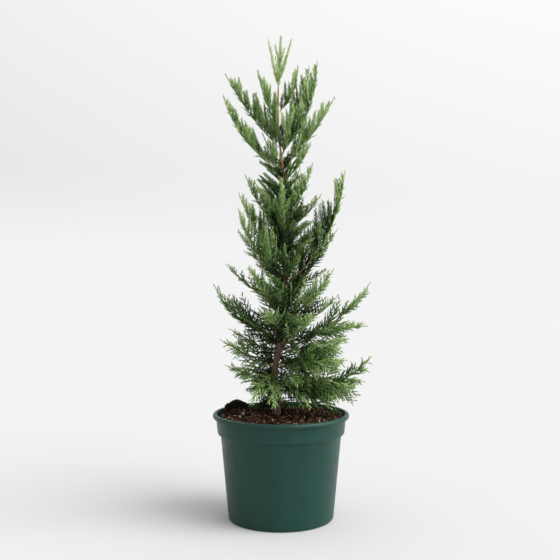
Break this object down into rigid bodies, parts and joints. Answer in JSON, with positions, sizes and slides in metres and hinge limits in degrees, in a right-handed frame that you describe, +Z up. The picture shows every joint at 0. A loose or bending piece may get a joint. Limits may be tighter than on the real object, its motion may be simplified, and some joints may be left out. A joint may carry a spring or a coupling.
{
  "type": "potted leyland cypress",
  "caption": "Young leyland cypress on a single trunk with upswept feathery sprays, growing in compost in a plain dark green plastic nursery pot.",
  "frame": {"origin": "centre of the pot's flat underside", "axes": "+Z up along the trunk, -Y towards the side that the picture shows, +X to the picture's right"},
  "size_m": [0.3308, 0.2866, 0.992],
  "materials": {
    "pot": "satin",
    "soil": "matte",
    "bark": "matte",
    "foliage": "matte"
  },
  "bodies": {
    "root": {"bough_base_right_long": "bark", "bough_low_left_plume": "bark", "bough_low_right_flat": "bark", "bough_low_right_long": "bark", "bough_mid_right_low": "bark", "bough_mid_right_plume": "bark", "foliage_back_high": "foliage", "foliage_base_back": "foliage", "foliage_base_front": "foliage", "foliage_base_front_left": "foliage", "foliage_base_front_right": "foliage", "foliage_base_left": "foliage", "foliage_base_left_hang": "foliage", "foliage_base_left_high": "foliage", "foliage_base_right_back": "foliage", "foliage_base_right_front": "foliage", "foliage_base_right_hang": "foliage", "foliage_base_right_long": "foliage", "foliage_base_right_side": "foliage", "foliage_front_high_left": "foliage", "foliage_front_high_right": "foliage", "foliage_leader": "foliage", "foliage_left_high": "foliage", "foliage_left_inner": "foliage", "foliage_left_reach": "foliage", "foliage_left_slip": "foliage", "foliage_low_back": "foliage", "foliage_low_back_left": "foliage", "foliage_low_front": "foliage", "foliage_low_front_left": "foliage", "foliage_low_front_tuft": "foliage", "foliage_low_left_plume": "foliage", "foliage_low_left_slim": "foliage", "foliage_low_left_tuft": "foliage", "foliage_low_right_flat": "foliage", "foliage_low_right_inner": "foliage", "foliage_low_right_long": "foliage", "foliage_low_right_tip": "foliage", "foliage_low_right_tuft": "foliage", "foliage_mid_back": "foliage", "foliage_mid_front": "foliage", "foliage_mid_left": "foliage", "foliage_mid_left_flat": "foliage", "foliage_mid_left_inner": "foliage", "foliage_mid_left_low": "foliage", "foliage_mid_left_top": "foliage", "foliage_mid_right_inner": "foliage", "foliage_mid_right_low": "foliage", "foliage_mid_right_plume": "foliage", "foliage_mid_right_slim": "foliage", "foliage_mid_right_top": "foliage", "foliage_right_high": "foliage", "foliage_right_high_inner": "foliage", "foliage_right_inner": "foliage", "foliage_right_reach": "foliage", "foliage_right_slip": "foliage", "foliage_right_veil": "foliage", "pot": "pot", "soil": "soil", "trunk": "bark"}
  },
  "joints": []
}
